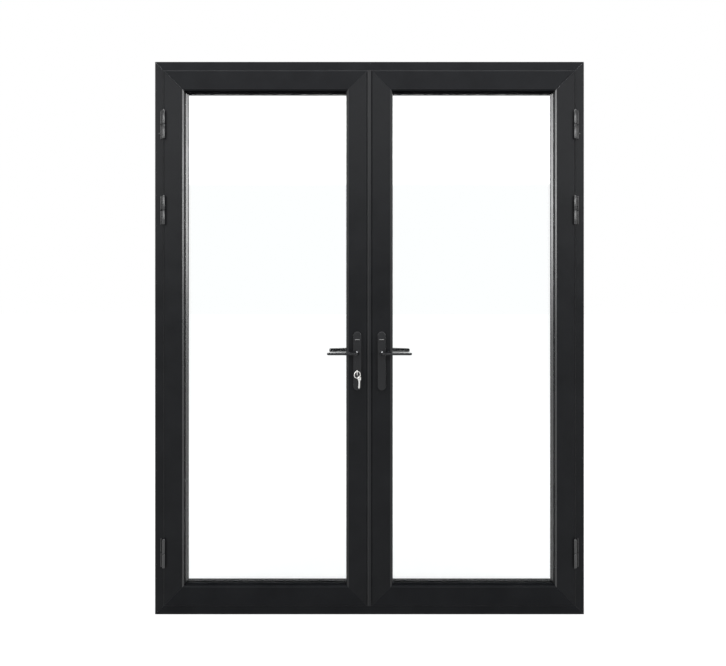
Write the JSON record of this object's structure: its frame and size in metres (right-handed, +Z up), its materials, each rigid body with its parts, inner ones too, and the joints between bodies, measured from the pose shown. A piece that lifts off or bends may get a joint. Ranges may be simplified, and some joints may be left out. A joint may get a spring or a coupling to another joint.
{
  "type": "double-leaf glazed clean room door",
  "caption": "Dark powder-coated aluminium double swing door with glazed leaves, lever handles, a keyed lock and surface hinges, in its mitred frame.",
  "frame": {"origin": "middle of the door's width on the floor, at the mid-plane of the closed leaves", "axes": "+X to the viewer's right along the wall, +Y away from the viewer through the doorway, +Z up"},
  "size_m": [1.63, 0.186, 2.1],
  "materials": {
    "powder_coat": "near-black satin powder coat on extruded aluminium",
    "handle_coat": "near-black satin powder coat on cast aluminium",
    "hinge_coat": "near-black satin powder coat",
    "cleat_aluminium": "mill finish",
    "spacer_aluminium": "satin rolled bar",
    "lock_steel": "brushed and zinc plated",
    "nickel": "bright nickel plate on brass",
    "black_rubber": "matt extruded rubber",
    "clear_glass": "clear float glass"
  },
  "bodies": {
    "frame": {"frame_head": "powder_coat", "frame_left_jamb": "powder_coat", "frame_right_jamb": "powder_coat", "threshold": "powder_coat", "frame_corner_cleats": "cleat_aluminium", "frame_gasket": "black_rubber", "head_bolt_keep": "lock_steel", "threshold_bolt_keep": "lock_steel", "left_hinge_frame_wings": "hinge_coat", "right_hinge_frame_wings": "hinge_coat", "left_hinge_pins": "lock_steel", "right_hinge_pins": "lock_steel"},
    "left_leaf": {"left_top_rail": "powder_coat", "left_bottom_rail": "powder_coat", "left_hinge_stile": "powder_coat", "left_lock_stile": "powder_coat", "left_corner_cleats": "cleat_aluminium", "left_glass_panes": "clear_glass", "left_glass_spacer": "spacer_aluminium", "left_glazing_beads": "powder_coat", "left_glazing_gaskets": "black_rubber", "left_setting_blocks": "black_rubber", "left_hinge_leaf_wings": "hinge_coat", "left_front_plate": "handle_coat", "left_back_plate": "handle_coat", "lock_case": "lock_steel", "lock_faceplate": "lock_steel", "lock_cylinder": "nickel"},
    "left_lever": {"left_front_lever": "handle_coat", "left_back_lever": "handle_coat", "left_spindle": "lock_steel", "lock_follower": "lock_steel"},
    "latch": {"latch_bolt": "lock_steel"},
    "dead_bolt": {"dead_bolt": "lock_steel"},
    "key": {"cylinder_plug": "nickel", "key": "nickel", "key_ring": "nickel", "spare_key": "nickel"},
    "right_leaf": {"right_top_rail": "powder_coat", "right_bottom_rail": "powder_coat", "right_hinge_stile": "powder_coat", "right_lock_stile": "powder_coat", "right_corner_cleats": "cleat_aluminium", "right_glass_panes": "clear_glass", "right_glass_spacer": "spacer_aluminium", "right_glazing_beads": "powder_coat", "right_glazing_gaskets": "black_rubber", "right_setting_blocks": "black_rubber", "right_hinge_leaf_wings": "hinge_coat", "right_front_plate": "handle_coat", "right_back_plate": "handle_coat", "bolt_gearbox": "lock_steel", "meeting_strip": "powder_coat", "meeting_seal": "black_rubber", "strike_plate": "lock_steel"},
    "right_lever": {"right_front_lever": "handle_coat", "right_back_lever": "handle_coat", "right_spindle": "lock_steel"},
    "top_bolt": {"top_shoot_bolt": "lock_steel"},
    "bottom_bolt": {"bottom_shoot_bolt": "lock_steel"}
  },
  "joints": [
    {"name": "left_leaf_swing", "type": "hinge", "parent": "frame", "child": "left_leaf", "pos_m": [-0.7785, -0.04, 1.05], "axis": [0, 0, -1], "range_deg": [0, 110]},
    {"name": "right_leaf_swing", "type": "hinge", "parent": "frame", "child": "right_leaf", "pos_m": [0.7785, -0.04, 1.05], "axis": [0, 0, 1], "range_deg": [0, 110]},
    {"name": "left_lever_turn", "type": "hinge", "parent": "left_leaf", "child": "left_lever", "pos_m": [-0.046, 0, 0.995], "axis": [0, -1, 0], "range_deg": [0, 45], "stiffness_Nm_per_rad": 1.2, "springref_deg": -34.38},
    {"name": "latch_slide", "type": "slide", "parent": "left_leaf", "child": "latch", "axis": [-1, 0, 0], "range_m": [0, 0.0115]},
    {"name": "key_turn", "type": "hinge", "parent": "left_leaf", "child": "key", "pos_m": [-0.046, 0, 0.923], "axis": [0, 1, 0], "range_deg": [0, 360]},
    {"name": "dead_bolt_slide", "type": "slide", "parent": "left_leaf", "child": "dead_bolt", "axis": [1, 0, 0], "range_m": [0, 0.02]},
    {"name": "right_lever_turn", "type": "hinge", "parent": "right_leaf", "child": "right_lever", "pos_m": [0.046, 0, 0.995], "axis": [0, -1, 0], "range_deg": [0, 45]},
    {"name": "top_bolt_slide", "type": "slide", "parent": "right_leaf", "child": "top_bolt", "axis": [0, 0, 1], "range_m": [0, 0.018]},
    {"name": "bottom_bolt_slide", "type": "slide", "parent": "right_leaf", "child": "bottom_bolt", "axis": [0, 0, -1], "range_m": [0, 0.018]}
  ],
  "couplings": [
    {"joint": "latch_slide", "follows": "left_lever_turn", "m_per_rad": 0.0146},
    {"joint": "dead_bolt_slide", "follows": "key_turn", "m_per_rad": 0.00318},
    {"joint": "top_bolt_slide", "follows": "right_lever_turn", "m_per_rad": 0.0229},
    {"joint": "bottom_bolt_slide", "follows": "right_lever_turn", "m_per_rad": 0.0229}
  ]
}
